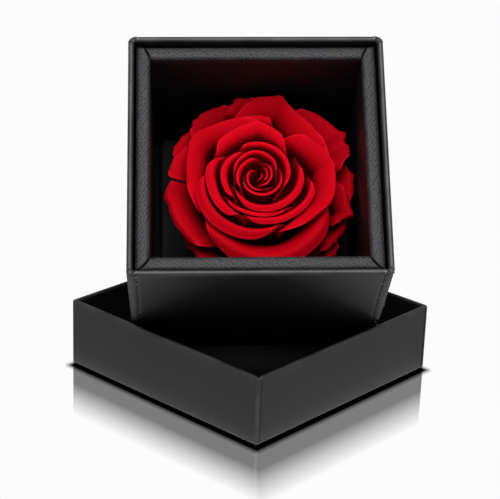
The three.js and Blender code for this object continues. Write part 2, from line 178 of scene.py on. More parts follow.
def polished_table():
    """White, with a painted contact shadow where the lid's foot touches it, painted light that glows onto the
    scene brightest near the lid, and a mirror that fades with the distance.
    """
    made, tree = new_material("polished table")[:2]
    # Painted contact shadow: black at the lid's foot and fading outwards, shifted towards the viewer; it
    # darkens the mirror as well
    nearest = add_node(tree, "ShaderNodeVectorMath", {0: beyond_lid(tree, CONTACT_SHADOW_SHIFT)}, operation="LENGTH")
    outside_contact_shadow = distance_fade(tree, nearest.outputs["Value"], CONTACT_SHADOW_FADE, 0.0, 1.0)
    sides = add_node(tree, "ShaderNodeSeparateXYZ", {"Vector": beyond_lid(tree, 0.0)})
    square = calculate(tree, "MAXIMUM", sides.outputs["X"], sides.outputs["Y"])
    gloss = distance_fade(tree, square, MIRROR_FADE, TABLE_GLOSS, 0.0)
    # Painted light: what the table glows onto the scene, a painted pool of light brightest near the lid
    glow = distance_fade(tree, square, (0.0, GLOW_REACH), NEAR_GLOW, FAR_GLOW)
    ray = add_node(tree, "ShaderNodeLightPath")
    strength = add_node(tree, "ShaderNodeMix", {
        "Factor": ray.outputs["Is Camera Ray"], "A": glow, "B": calculate(tree, "MULTIPLY", outside_contact_shadow, WHITE),
    })
    lit = add_node(tree, "ShaderNodeEmission", {"Strength": strength.outputs["Result"]})
    mirror = add_node(tree, "ShaderNodeBsdfGlossy", {"Color": outside_contact_shadow, "Roughness": 0.0})
    mirrored = calculate(tree, "MULTIPLY", gloss, ray.outputs["Is Camera Ray"])
    surface = add_node(tree, "ShaderNodeMixShader", {
        "Fac": mirrored, 1: lit.outputs["Emission"], 2: mirror.outputs["BSDF"],
    })
    tree.links.new(surface.outputs["Shader"], tree.nodes["Material Output"].inputs["Surface"])
    return made


scene.world = pale_room()

table_mesh = bpy.data.meshes.new("table top")
half_table = TABLE_SIZE / 2
table_corners = [(-half_table, -half_table, 0), (half_table, -half_table, 0),
                 (half_table, half_table, 0), (-half_table, half_table, 0)]
table_mesh.from_pydata(table_corners, [], [(0, 1, 2, 3)])
table = bpy.data.objects.new("table_top", table_mesh)
scene.collection.objects.link(table)
table_mesh.materials.append(polished_table())


# The lid: a shallow tray of grey board, wrapped in black satin paper that is folded over the rim
# and turned in. The paper of two sides laps round the corners and ends just past them. It lies
# upturned, a corner towards the viewer.
LID_HEIGHT = 28.0
LID_WALL = 1.7
LID_BOARD = 2.0
LID_LAP = 1.5
LID_CORNER = 1.2
LID_SEAM_DEPTH = 0.5
LID_TURN_IN = 14.0
LID_BOW = 0.1
LID_LUMP = 0.25
LAPPED_SIDES = (1, 3)
PAPER_STEP = 0.14
SEAM_WIDTH = 0.5
SEAM_MARGIN = 2.0
LEAST_STEP = 0.02
LEAST_CORNER = 0.3
FOOT_ROUND = 0.55
EDGE_MARGIN = 0.8
RIM_FLATNESS = 0.88
CORNER_LINT = 0.04
PAPER_CLOUDS = 25.0
PAPER_PATCHES = 90.0


def store(mesh, name, values):
    """Keeps a value at each point of a mesh, for its material or node tree to read."""
    layer = mesh.attributes.new(name, "FLOAT", "POINT")
    layer.data.foreach_set("value", np.asarray(values, np.float32))


def mesh_object(name, points, faces, place, fold=None, uv=None, sharp=40):
    mesh = bpy.data.meshes.new(name)
    mesh.from_pydata([tuple(p) for p in np.asarray(points) * MM], [], faces)
    mesh.transform(place)
    if fold is not None:
        store(mesh, "fold", fold)
    if uv is not None:
        corners = np.empty(len(mesh.loops), np.int32)
        mesh.loops.foreach_get("vertex_index", corners)
        layer = mesh.uv_layers.new(name="UVMap")
        layer.data.foreach_set("uv", np.asarray(uv, np.float32)[corners].ravel())
    mesh.polygons.foreach_set("use_smooth", [True] * len(mesh.polygons))
    mesh.set_sharp_from_angle(angle=math.radians(sharp))
    mesh.update()
    made = bpy.data.objects.new(name, mesh)
    scene.collection.objects.link(made)
    return made


def loft_faces(rows, columns):
    """Quads between each ring of points and the next, round the whole ring."""
    faces = []
    for r in range(rows - 1):
        for c in range(columns):
            d = (c + 1) % columns
            faces.append((r * columns + c, r * columns + d, (r + 1) * columns + d, (r + 1) * columns + c))
    return faces


class SquareOutline:
    """The columns of a rounded square. Two of its sides carry the ends of the others' paper.

    For each column: its side, its place along it, its turn round the corner, how far its paper
    stands out in paper steps (less than 0 in a seam), and how near it is to a corner's middle."""

    def __init__(self, half, corner, lap, seam_depth, side_steps=14, corner_steps=8):
        reach = half - corner
        plain = half - lap - SEAM_MARGIN
        inner = np.linspace(-plain, plain, side_steps)
        edge = half - lap - SEAM_WIDTH * np.array([1, 0.5, 0])
        edge = edge[edge < reach - LEAST_STEP]
        along = np.concatenate([[-reach], -edge[::-1], inner, edge, [reach]])
        self.half, self.corner = half, corner
        entries = []
        for side in range(4):
            for s in along:
                lapped = 1.0 if side in LAPPED_SIDES and abs(s) > half - lap - SEAM_WIDTH / 4 else 0.0
                if side in LAPPED_SIDES and abs(abs(s) - (half - lap - SEAM_WIDTH / 2)) < SEAM_WIDTH / 4:
                    lapped = -seam_depth / PAPER_STEP
                entries.append((side, s / reach, 0.0, lapped, 0.0))
            for k in range(1, corner_steps):
                turn = k / corner_steps
                entries.append((side, 1.0, turn, 1.0, 1.0 - abs(2 * turn - 1)))
        self.side, self.along, self.turn, self.lap, self.middle = (np.array(v) for v in zip(*entries))
        self.count = len(entries)

    def ring(self, inset, height, outwards):
        half = self.half - inset
        corner = max(self.corner - inset, LEAST_CORNER)
        reach = half - corner
        base = self.side * math.pi / 2
        angle = base + self.turn * math.pi / 2
        normal = np.stack([np.cos(angle), np.sin(angle)], 1)
        facing = np.stack([np.cos(base), np.sin(base)], 1)
        tangent = np.stack([-np.sin(base), np.cos(base)], 1)
        centre = facing * reach + tangent * (self.along * reach)[:, None]
        flat = centre + normal * (corner + outwards)[:, None]
        return np.column_stack([flat, np.full(self.count, height)])


def wrapped_tray(name, width, height, wall, board, corner, lap, seam_depth, turn_in, bow, lump, place):
    """A tray from the middle of its underside, up its walls, over its rim and across its inside.

    seam_depth is how far the paper dips where a lap ends, turn_in how far it reaches down inside,
    bow how far the walls swell, and lump how high the folded paper stands at the corners."""
    outline = SquareOutline(width / 2, corner, lap, seam_depth)
    chance = np.random.default_rng(int(width))
    crumple = np.sin(9 * outline.turn * math.pi + chance.uniform(0, 6, outline.count))
    folds_of_paper = outline.middle * (0.6 + 0.4 * crumple)
    half = width / 2
    rim = wall / 2
    foot = FOOT_ROUND
    rings, folds = [], []
    waves = np.cos(outline.along * math.pi / 2) * (outline.turn == 0)

    def add(inset, z, fold, outwards=0.0, dip=0.0):
        points = outline.ring(inset, z, outwards + np.zeros(outline.count))
        points[:, 2] -= dip * outline.middle ** 0.7
        rings.append(points)
        corner_fold = np.clip(outline.middle * 1.6, 0, 1) if inset < wall else 0 * outline.middle
        folds.append(np.maximum(corner_fold, fold))

    # The underside, and its rounded edge
    for inset in (half - 1.5, half * 0.6, half * 0.25, 3.0):
        add(inset, 0.0, 0.0)
    for step in range(5):
        a = step / 4 * math.pi / 2
        outwards = PAPER_STEP * outline.lap * step / 4
        add(foot - foot * math.sin(a), foot - foot * math.cos(a), 1.0 if step == 2 else 0.6, outwards)
    # The wall, and the paper folded over its rim
    wall_rows = 12
    for step in range(wall_rows + 1):
        share = step / wall_rows
        z = foot + EDGE_MARGIN + (height - rim - EDGE_MARGIN - foot - EDGE_MARGIN) * share
        swell = bow * waves * math.sin(math.pi * share)
        add(0.0, z, 0.25 if step in (0, wall_rows) else 0.0, PAPER_STEP * outline.lap + swell)
    # The fold values on the rim's crown, as at the foot's rounding, pale the paper in patches: wear, and a
    # painted highlight
    for step in range(9):
        a = step / 8 * math.pi
        outwards = PAPER_STEP * outline.lap * (1 - step / 8) + lump * folds_of_paper * math.sin(a)
        across = math.copysign(abs(math.cos(a)) ** RIM_FLATNESS, math.cos(a))
        add(rim - rim * across, height - rim + rim * math.sin(a) ** RIM_FLATNESS,
            0.4 + 0.6 * math.sin(a), outwards, 2 * lump * math.sin(a))
    # The lining: over the paper that is turned in, down to its edge, and on over the floor
    lining_row = len(rings) - 1
    inner_rows = 6
    for step in range(1, inner_rows + 1):
        add(wall, height - rim - (turn_in - rim) * step / inner_rows, 0.0)
    add(wall - PAPER_STEP, height - turn_in - 0.15, 0.3)
    add(wall - PAPER_STEP, board + 0.4, 0.0)
    add(wall + 0.1, board, 0.0)
    for inset in (wall + 1.6, wall + 6, half * 0.5, half - 1.5):
        add(inset, board, 0.0)

    rows = len(rings)
    points = np.concatenate(rings + [[[0, 0, 0]], [[0, 0, board]]])
    faces = loft_faces(rows, outline.count)
    low, high = rows * outline.count, rows * outline.count + 1
    last = (rows - 1) * outline.count
    for c in range(outline.count):
        d = (c + 1) % outline.count
        faces.append((low, d, c))
        faces.append((high, last + c, last + d))
    flat = np.concatenate(rings).reshape(rows, outline.count, 3)
    travel = np.cumsum(np.r_[0, np.linalg.norm(np.diff(flat[:, 0], axis=0), axis=1)])
    girth = np.cumsum(np.r_[0, np.linalg.norm(np.diff(flat[8], axis=0), axis=1)])
    uv = np.stack(np.meshgrid(travel, girth, indexing="ij")[::-1], -1).reshape(-1, 2)
    uv = np.concatenate([uv, [[0, 0], [0, travel[-1]]]])
    fold = np.concatenate(folds + [[0, 0]])
    made = mesh_object(name, points, faces, place, fold, uv)
    lined = [min(face) >= lining_row * outline.count and face[0] != low for face in faces]
    made.data.polygons.foreach_set("material_index", np.array(lined, np.int32))
    # Lint gathers in the seams outside, and a little of it at the corners
    seams = np.where(np.abs(outline.lap) > 1, 1.0, CORNER_LINT * (outline.middle > 0.2))
    outside = (points[:, 2] > 1.0) * (np.arange(len(points)) < lining_row * outline.count)
    store(made.data, "lap", np.concatenate([np.tile(seams, rows), [0, 0]]) * outside)
    return made


def noise(tree, place, scale, detail=2.0, distortion=0.0):
    made = add_node(tree, "ShaderNodeTexNoise", {
        "Vector": place, "Scale": scale, "Detail": detail, "Distortion": distortion,
    })
    return made.outputs["Fac"]


def between(tree, factor, first, second):
    """A colour that goes from the first to the second as the factor goes from 0 to 1."""
    made = add_node(tree, "ShaderNodeMix", {"Factor": factor, "A": first, "B": second}, data_type="RGBA")
    return made.outputs["Result"]


def stored(tree, name):
    return add_node(tree, "ShaderNodeAttribute", attribute_name=name).outputs["Fac"]


def raise_relief(tree, shader, height, strength, depth):
    """Bumps a material's surface by a height that runs from 0 to 1, depth metres high."""
    made = add_node(tree, "ShaderNodeBump", {"Height": height, "Strength": strength, "Distance": depth})
    tree.links.new(made.outputs["Normal"], shader.inputs["Normal"])


def new_group(kind, name, inputs, output):
    """A node group with named inputs and one output, and the two nodes that stand for them."""
    group = bpy.data.node_groups.new(name, kind)
    for socket, sort in inputs.items():
        group.interface.new_socket(socket, in_out="INPUT", socket_type=f"NodeSocket{sort}")
    socket, sort = output
    group.interface.new_socket(socket, in_out="OUTPUT", socket_type=f"NodeSocket{sort}")
    return group, add_node(group, "NodeGroupInput"), add_node(group, "NodeGroupOutput")


def fold_wear_and_highlight_group():
    """Where paper is creased over an edge it rubs paler in patches, partly wear and partly a painted
    highlight along rims and edges: a mask from 0 to 1.
    """
    group, given, result = new_group("ShaderNodeTree", "fold wear and highlight", {
        "Fold": "Float", "Vector": "Vector", "Patch Scale": "Float",
    }, ("Wear and Highlight", "Float"))
    patches = noise(group, given.outputs["Vector"], given.outputs["Patch Scale"], 4.0)
    rubbed_and_highlit = remap(group, patches, (0.35, 0.7), 0.0, 1.0)
    wear_and_highlight = calculate(group, "MULTIPLY", rubbed_and_highlit, given.outputs["Fold"])
    group.links.new(wear_and_highlight, result.inputs["Wear and Highlight"])
    return group


FOLD_WEAR_AND_HIGHLIGHT = fold_wear_and_highlight_group()


def rubbed_and_highlit_folds(tree, place, patch_scale, tone, worn_and_highlit):
    """A tone that turns to a worn one in patches along the piece's folds: wear, and in part a painted
    highlight.
    """
    wear_and_highlight = add_node(tree, "ShaderNodeGroup", {
        "Fold": stored(tree, "fold"), "Vector": place, "Patch Scale": patch_scale,
    }, node_tree=FOLD_WEAR_AND_HIGHLIGHT)
    return between(tree, wear_and_highlight.outputs["Wear and Highlight"], tone, (*worn_and_highlit, 1))


def black_paper(name, colour, worn_and_highlit, roughness, grain, gloss):
    """Black paper, clouded in tone, with fine fibres in its relief and in its sheen."""
    made, tree, shader = new_material(name)
    place = add_node(tree, "ShaderNodeTexCoord").outputs["Object"]
    darker, paler = ((*[c * share for c in colour], 1) for share in (0.85, 1.2))
    tone = between(tree, noise(tree, place, PAPER_CLOUDS, 3.0), darker, paler)
    tree.links.new(rubbed_and_highlit_folds(tree, place, PAPER_PATCHES, tone, worn_and_highlit), shader.inputs["Base Color"])
    fibre = noise(tree, place, grain, 6.0)
    satin = remap(tree, fibre, (0, 1), roughness - 0.05, roughness + 0.08)
    tree.links.new(satin, shader.inputs["Roughness"])
    raise_relief(tree, shader, fibre, 0.35, 0.00006)
    shader.inputs["Specular IOR Level"].default_value = gloss
    return made


WRAP_PAPER = black_paper(
    "black wrapping paper", (0.012, 0.0122, 0.0128), (0.06, 0.061, 0.063), 0.44, 900.0, 0.7)
# The lining paper is made darker and duller than the wrap as painted shade for the insides of the lid and box
SHADE_DARKENED_LINING_PAPER = black_paper("black lining paper darkened as painted shade", (0.005, 0.005, 0.005), (0.02, 0.02, 0.02), 0.7, 600.0, 0.2)

lid = wrapped_tray(
    "wrapped_lid", width=LID_WIDTH, height=LID_HEIGHT, wall=LID_WALL, board=LID_BOARD,
    corner=LID_CORNER, lap=LID_LAP, seam_depth=LID_SEAM_DEPTH, turn_in=LID_TURN_IN,
    bow=LID_BOW, lump=LID_LUMP, place=Matrix.Rotation(LID_TURN, 4, "Z"))
lid.data.materials.append(WRAP_PAPER)
lid.data.materials.append(SHADE_DARKENED_LINING_PAPER)
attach(lid, "root")
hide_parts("lid")


# The box: a deep tray of the same board and paper. The paper of the two sides laps round onto the
# front and back, where its edge shows. The box leans forward with its front bottom edge in the lid
# and its long edges on the lid's rims.
BOX_WIDTH = 100.0
BOX_HEIGHT = 85.0
BOX_WALL = 2.2
BOX_CORNER = 2.8
BOX_LAP = 3.4
BOX_SEAM_DEPTH = 0.2
BOX_TURN_IN = 12.0
BOX_BOW = 0.08
BOX_LUMP = 0.35
BOX_FOOT = Vector((1.88, 2.0, 7.5)) * MM
BOX_TIP = math.radians(47.74)
BOX_ROLL = math.radians(-1.52)
SPECK_RADIUS = 0.42
SPECK_SIZES = (0.3, 1.0)
SPECKS_PER_AREA = 700000.0
SPECK_SEED = 4

box_place = (
    Matrix.Translation(BOX_FOOT)
    @ Matrix.Rotation(BOX_ROLL, 4, "Y")
    @ Matrix.Rotation(BOX_TIP, 4, "X")
    @ Matrix.Translation((0, BOX_WIDTH / 2 * MM, 0))
)
box = wrapped_tray(
    "wrapped_box", width=BOX_WIDTH, height=BOX_HEIGHT, wall=BOX_WALL, board=BOX_WALL,
    corner=BOX_CORNER, lap=BOX_LAP, seam_depth=BOX_SEAM_DEPTH, turn_in=BOX_TURN_IN,
    bow=BOX_BOW, lump=BOX_LUMP, place=box_place)
box.data.materials.append(WRAP_PAPER)
box.data.materials.append(SHADE_DARKENED_LINING_PAPER)


def paper_lint():
    """The pale specks of dried glue and dust along the laps and corners of the paper."""
    made, tree, shader = new_material("pale lint")
    place = add_node(tree, "ShaderNodeTexCoord").outputs["Object"]
    tone = between(tree, noise(tree, place, 400.0), (0.04, 0.04, 0.042, 1), (0.8, 0.8, 0.81, 1))
    tree.links.new(tone, shader.inputs["Base Color"])
    shader.inputs["Roughness"].default_value = 0.8
    return made


def finished(tree, geometry, material):
    """The last steps of a tree: instances made real, and the material set."""
    real = add_node(tree, "GeometryNodeRealizeInstances", {"Geometry": geometry})
    painted = add_node(tree, "GeometryNodeSetMaterial", {
        "Geometry": real.outputs["Geometry"], "Material": material,
    })
    return painted.outputs["Geometry"]


def speck_tree():
    """Scatters specks where a paper tray's lap value says so, and joins them to it."""
    tree, given, result = new_group("GeometryNodeTree", "specks along laps", {
        "Geometry": "Geometry", "Speck Radius": "Float", "Specks per Area": "Float",
        "Seed": "Int", "Speck Material": "Material",
    }, ("Geometry", "Geometry"))
    laps = add_node(tree, "GeometryNodeInputNamedAttribute", {"Name": "lap"}, data_type="FLOAT")
    density = calculate(tree, "MULTIPLY", laps.outputs["Attribute"], given.outputs["Specks per Area"])
    scatter = add_node(tree, "GeometryNodeDistributePointsOnFaces", {
        "Mesh": given.outputs["Geometry"], "Density": density, "Seed": given.outputs["Seed"],
    }, distribute_method="RANDOM")
    speck = add_node(tree, "GeometryNodeMeshIcoSphere", {"Radius": given.outputs["Speck Radius"]})
    size = add_node(tree, "FunctionNodeRandomValue", {
        "Min": SPECK_SIZES[0], "Max": SPECK_SIZES[1], "Seed": given.outputs["Seed"],
    }, data_type="FLOAT")
    placed = add_node(tree, "GeometryNodeInstanceOnPoints", {
        "Points": scatter.outputs["Points"], "Instance": speck.outputs["Mesh"],
        "Scale": size.outputs["Value"],
    })
    joined = add_node(tree, "GeometryNodeJoinGeometry", {
        "Geometry": finished(tree, placed.outputs["Instances"], given.outputs["Speck Material"]),
    })
    tree.links.new(given.outputs["Geometry"], joined.inputs["Geometry"])
    tree.links.new(joined.outputs["Geometry"], result.inputs["Geometry"])
    return tree


def grow(piece, tree, values):
    """Runs a tree of geometry nodes on a piece and keeps the result as its plain mesh."""
    modifier = piece.modifiers.new(tree.name, "NODES")
    modifier.node_group = tree
    for socket in tree.interface.items_tree:
        if socket.name in values:
            modifier[socket.identifier] = values[socket.name]
    seen = piece.evaluated_get(bpy.context.evaluated_depsgraph_get())
    grown = bpy.data.meshes.new_from_object(seen)
    piece.modifiers.remove(modifier)
    piece.data = grown


grow(box, speck_tree(), {
    "Speck Radius": SPECK_RADIUS * MM, "Specks per Area": SPECKS_PER_AREA, "Seed": SPECK_SEED,
    "Speck Material": paper_lint(),
})
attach(box, "root")
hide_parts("box")


# The collar: four thick strips covered in charcoal leatherette paper with a pebbled emboss. They
# line the box a little clear of its walls and stop short of its rim. The side strips run through
# to the back, and their front ends are cut in a curve that the front strip is fitted to.
COLLAR_INNER = 41.5
COLLAR_THICKNESS = 5.4
COLLAR_FOOT = 2.5
COLLAR_TOP = 82.0
COLLAR_OUTER_ROUND = 1.5
COLLAR_INNER_ROUND = 1.4
COLLAR_CROWN = 0.1
PLAIN_WALL_START = 15
PLAIN_WALL_POINTS = 4
SEAM_GAP = 0.16
SEAM_ROUND = 0.7
BACK_SEAM_SHARE = 0.47
END_RUN = 2.0
EMBOSS_STEP = 0.28
EMBOSSED_DEPTH = 5.0
WEAR_AND_HIGHLIGHT_DEPTH = 1.2
WEAR_AND_HIGHLIGHT_WIDTH = 0.9
PEBBLE_PITCH = 0.68
PEBBLE_STRETCH = 2.0
PEBBLE_RELIEF = 0.08
PEBBLE_SLANT = math.radians(35)
PEBBLE_RANDOMNESS = 0.45
PEBBLE_SLOPE = (0.1, 0.6)
LEATHERETTE_PATCHES = 160.0


def collar_section():
    """The strip's section, anticlockwise from its inner foot, as distance outwards and height."""
    t, top = COLLAR_THICKNESS, COLLAR_TOP
    outer_arc = np.linspace(0, math.pi / 2, 9)
    inner_arc = np.linspace(math.pi / 2, math.pi, 9)
    wall_start = COLLAR_FOOT + PLAIN_WALL_START
    points = [(0.0, COLLAR_FOOT), (t, COLLAR_FOOT)]
    for z in np.linspace(wall_start, top - COLLAR_OUTER_ROUND - 1, PLAIN_WALL_POINTS):
        points.append((t, z))
    for a in outer_arc:
        x, z = COLLAR_OUTER_ROUND * (1 - math.cos(a)), COLLAR_OUTER_ROUND * (1 - math.sin(a))
        points.append((t - x, top - z))
    flat = np.arange(t - COLLAR_OUTER_ROUND - EMBOSS_STEP, COLLAR_INNER_ROUND + EMBOSS_STEP / 2, -EMBOSS_STEP)
    middle = (flat[0] + flat[-1]) / 2
    for x in flat:
        points.append((x, top + COLLAR_CROWN * (1 - ((x - middle) / (flat[0] - middle + EMBOSS_STEP)) ** 2)))
    for a in inner_arc:
        points.append((COLLAR_INNER_ROUND * (1 + math.cos(a)), top - COLLAR_INNER_ROUND * (1 - math.sin(a))))
    inner_top = top - COLLAR_INNER_ROUND
    for z in np.arange(inner_top - EMBOSS_STEP, inner_top - EMBOSSED_DEPTH, -1.5 * EMBOSS_STEP):
        points.append((0.0, z))
    for z in np.linspace(inner_top - EMBOSSED_DEPTH - 2, wall_start, PLAIN_WALL_POINTS):
        points.append((0.0, z))
    return np.array(points)


def side_front_end(out):
    """How far the front end of a side strip reaches past the inner wall, at a distance outwards."""
    return COLLAR_THICKNESS * (1 - (1 - out / COLLAR_THICKNESS) ** 2)


def front_end(out):
    return COLLAR_THICKNESS * (1 - np.sqrt(np.clip(1 - out / COLLAR_THICKNESS, 0, 1)))


def side_back_end(out):
    return np.minimum(out / BACK_SEAM_SHARE, COLLAR_THICKNESS)


def back_end(out):
    return out * BACK_SEAM_SHARE


def collar_strip(name, turn, low_end, high_end):
    """A strip lofted from end to end, its skin embossed but for its rounded ends and its foot."""
    section = collar_section()
    out, height = section[:, 0], section[:, 1]
    low = -(COLLAR_INNER + low_end(out) - SEAM_GAP)
    high = COLLAR_INNER + high_end(out) - SEAM_GAP
    straight = COLLAR_INNER - END_RUN
    round_ends = SEAM_ROUND * (1 - np.cos(np.linspace(0, math.pi / 2, 5)))
    drops = SEAM_ROUND - np.sqrt(SEAM_ROUND ** 2 - (SEAM_ROUND - round_ends) ** 2)
    blends = np.linspace(0, 1, int((COLLAR_THICKNESS + END_RUN) / EMBOSS_STEP))[1:-1]
    stations = [(low + end, drop, 0.0) for end, drop in zip(round_ends, drops)]
    stations += [((low + SEAM_ROUND) * (1 - share) - straight * share, 0.0, 1.0) for share in blends]
    for along in np.arange(-straight, straight + EMBOSS_STEP / 2, EMBOSS_STEP):
        stations.append((np.full(len(out), along), 0.0, 1.0))
    stations += [(straight * (1 - share) + (high - SEAM_ROUND) * share, 0.0, 1.0) for share in blends]
    stations += [(high - end, drop, 0.0) for end, drop in zip(round_ends[::-1], drops[::-1])]
    rings = []
    for along, drop, skin in stations:
        z = np.minimum(height, COLLAR_TOP + COLLAR_CROWN - drop)
        rings.append(np.stack([COLLAR_INNER + out, along, z], 1))
    count = len(section)
    faces = [tuple(reversed(f)) for f in loft_faces(len(rings), count)]
    faces.append(tuple(range(count)))
    faces.append(tuple((len(rings) - 1) * count + k for k in reversed(range(count))))
    around = np.cumsum(np.r_[0, np.linalg.norm(np.diff(section, axis=0), axis=1)])
    points = np.concatenate(rings)
    uv = np.stack([points[:, 1], np.tile(around, len(rings))], 1)
    to_edge = np.minimum(out, COLLAR_THICKNESS - out)
    # Paler in patches along the strip's top edges: wear, and a painted highlight
    worn_and_highlit = np.exp(-((height - COLLAR_TOP) / WEAR_AND_HIGHLIGHT_DEPTH) ** 2) * np.exp(-(to_edge / WEAR_AND_HIGHLIGHT_WIDTH) ** 2)
    place = box_place @ Matrix.Rotation(turn, 4, "Z")
    made = mesh_object(name, points, faces, place, np.tile(worn_and_highlit, len(rings)), uv, sharp=50)
    embossed = np.clip((height - (COLLAR_TOP - EMBOSSED_DEPTH)) / 2, 0, 1)
    inside = np.array([skin for along, drop, skin in stations])
    store(made.data, "skin", (inside[:, None] * embossed[None, :]).ravel())
    return made


def scaled(tree, vector, scale):
    made = add_node(tree, "ShaderNodeVectorMath", {"Vector": vector, "Scale": scale}, operation="SCALE")
    return made.outputs["Vector"]


def emboss_tree():
    """Raises irregular slanting pebbles on the skin of a strip and keeps their height as a value."""
    tree, given, result = new_group("GeometryNodeTree", "leatherette emboss", {
        "Geometry": "Geometry", "Pitch": "Vector", "Slant": "Float", "Relief": "Float",
        "Shift": "Vector", "Leatherette": "Material",
    }, ("Geometry", "Geometry"))
    flat = add_node(tree, "GeometryNodeInputNamedAttribute", {"Name": "UVMap"}, data_type="FLOAT_VECTOR")
    slanted = add_node(tree, "ShaderNodeVectorRotate", {
        "Vector": flat.outputs["Attribute"], "Angle": given.outputs["Slant"],
    }, rotation_type="Z_AXIS")
    cells = add_node(tree, "ShaderNodeVectorMath", {
        0: slanted.outputs["Vector"], 1: given.outputs["Pitch"],
    }, operation="DIVIDE")
    shifted = add_node(tree, "ShaderNodeVectorMath", {
        0: cells.outputs["Vector"], 1: given.outputs["Shift"],
    }, operation="ADD")
    pebbles = add_node(tree, "ShaderNodeTexVoronoi", {
        "Vector": shifted.outputs["Vector"], "Scale": 1.0, "Randomness": PEBBLE_RANDOMNESS,
    }, voronoi_dimensions="2D", feature="F1")
    dome = remap(
        tree, pebbles.outputs["Distance"], PEBBLE_SLOPE, 1.0, 0.0, interpolation_type="SMOOTHSTEP")
    skin = add_node(tree, "GeometryNodeInputNamedAttribute", {"Name": "skin"}, data_type="FLOAT")
    raised = calculate(tree, "MULTIPLY", dome, skin.outputs["Attribute"])
    kept = add_node(tree, "GeometryNodeStoreNamedAttribute", {
        "Geometry": given.outputs["Geometry"], "Name": "pebble", "Value": raised,
    }, data_type="FLOAT", domain="POINT")
    normal = add_node(tree, "GeometryNodeInputNormal").outputs["Normal"]
    height = calculate(tree, "MULTIPLY", raised, given.outputs["Relief"])
    lifted = add_node(tree, "GeometryNodeSetPosition", {
        "Geometry": kept.outputs["Geometry"], "Offset": scaled(tree, normal, height),
    })
    covered = finished(tree, lifted.outputs["Geometry"], given.outputs["Leatherette"])
    tree.links.new(covered, result.inputs["Geometry"])
    return tree


def leatherette():
    """Dull charcoal with a faint lilac and blue drift along it; painted shade makes it darker between the
    pebbles and on the plain walls below the emboss.
    """
    made, tree, shader = new_material("charcoal leatherette")
    place = add_node(tree, "ShaderNodeTexCoord").outputs["Object"]
    pebble = stored(tree, "pebble")
    tint = between(tree, noise(tree, place, 70.0), (0.022, 0.026, 0.030, 1), (0.028, 0.023, 0.029, 1))
    # Painted shade: the tone drops between the pebbles and on the unembossed inner walls
    tone = scaled(tree, tint, remap(tree, pebble, (0, 1), 0.42, 1.15))
    rubbed_and_highlit = rubbed_and_highlit_folds(tree, place, LEATHERETTE_PATCHES, tone, (0.06, 0.06, 0.065))
    tree.links.new(rubbed_and_highlit, shader.inputs["Base Color"])
    tree.links.new(remap(tree, pebble, (0, 1), 0.3, 0.6), shader.inputs["Specular IOR Level"])
    raise_relief(tree, shader, noise(tree, place, 1800.0, 3.0), 0.4, 0.00012)
    shader.inputs["Roughness"].default_value = 0.5
    return made


LEATHERETTE = leatherette()
EMBOSS = emboss_tree()
collar_strips = {
    "right": collar_strip("collar_strip_right", 0.0, side_front_end, side_back_end),
    "back": collar_strip("collar_strip_back", math.pi / 2, back_end, back_end),
    "left": collar_strip("collar_strip_left", math.pi, side_back_end, side_front_end),
    "front": collar_strip("collar_strip_front", -math.pi / 2, front_end, front_end),
}
for pattern, (side, strip) in enumerate(collar_strips.items()):
    grow(strip, EMBOSS, {
        "Pitch": (PEBBLE_PITCH, PEBBLE_STRETCH * PEBBLE_PITCH, 1.0), "Slant": PEBBLE_SLANT,
        "Relief": PEBBLE_RELIEF * MM, "Shift": (13.0 * pattern, 7.0, 0.0), "Leatherette": LEATHERETTE,
    })
    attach(strip, "root")
    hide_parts(f"collar_{side}")


# The insert: one piece of black card, creased into a low table with four flaps, with a round hole
# punched in the middle for the rose's foot. It is pushed down inside the collar.
INSERT_X = 1.0
INSERT_HALF = (39.65, 41.05)
INSERT_TOP = 9.4
INSERT_FOOT = 2.5
INSERT_CARD = 1.2
INSERT_CREASE = 1.0
INSERT_INNER_ROUND = 0.3
HOLE_RADIUS = 11.5


def insert_mesh():
    """Loops of points from the hole's wall over the top and the crease, down the flaps and back."""
    count = 96
    turn = (np.arange(count) + 0.5) * 2 * math.pi / count
    ray = np.stack([np.cos(turn), np.sin(turn)], 1)
    hole = ray * HOLE_RADIUS

    def square(inset):
        half = np.array(INSERT_HALF) - inset
        return ray * np.min(half / np.maximum(np.abs(ray), 1e-6), axis=1)[:, None]

    loops = [(hole, INSERT_TOP - INSERT_CARD / 2, 0.0)]
    for share in (0.0, 0.02, 0.3, 0.7, 0.97):
        loops.append((hole * (1 - share) + square(INSERT_CREASE) * share, INSERT_TOP, 0.0))
    for step, a in enumerate(np.linspace(0, math.pi / 2, 5)):
        drop = INSERT_CREASE * (1 - math.cos(a))
        fold = 1.0 if step == 2 else 0.0
        loops.append((square(INSERT_CREASE * (1 - math.sin(a))), INSERT_TOP - drop, fold))
    loops.append((square(0.0), INSERT_FOOT + 2, 0.0))
    loops.append((square(0.0), INSERT_FOOT, 0.0))
    loops.append((square(INSERT_CARD), INSERT_FOOT, 0.0))
    loops.append((square(INSERT_CARD), INSERT_TOP - INSERT_CARD - INSERT_INNER_ROUND, 0.0))
    loops.append((square(INSERT_CARD + INSERT_INNER_ROUND), INSERT_TOP - INSERT_CARD, 0.0))
    loops.append((hole, INSERT_TOP - INSERT_CARD, 0.0))
    points = np.concatenate([np.column_stack([xy, np.full(count, z)]) for xy, z, fold in loops])
    points[:, 0] += INSERT_X
    faces = [tuple(reversed(f)) for f in loft_faces(len(loops), count)]
    last = (len(loops) - 1) * count
    faces += [(last + (c + 1) % count, last + c, c, (c + 1) % count) for c in range(count)]
    folds = np.concatenate([np.full(count, fold) for xy, z, fold in loops])
    return mesh_object("folded_insert", points, faces, box_place, folds)


INSERT_PAPER = black_paper("black insert card", (0.008, 0.008, 0.009), (0.03, 0.03, 0.032), 0.6, 700.0, 0.3)
insert = insert_mesh()
insert.data.materials.append(INSERT_PAPER)
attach(insert, "root")
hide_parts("insert")


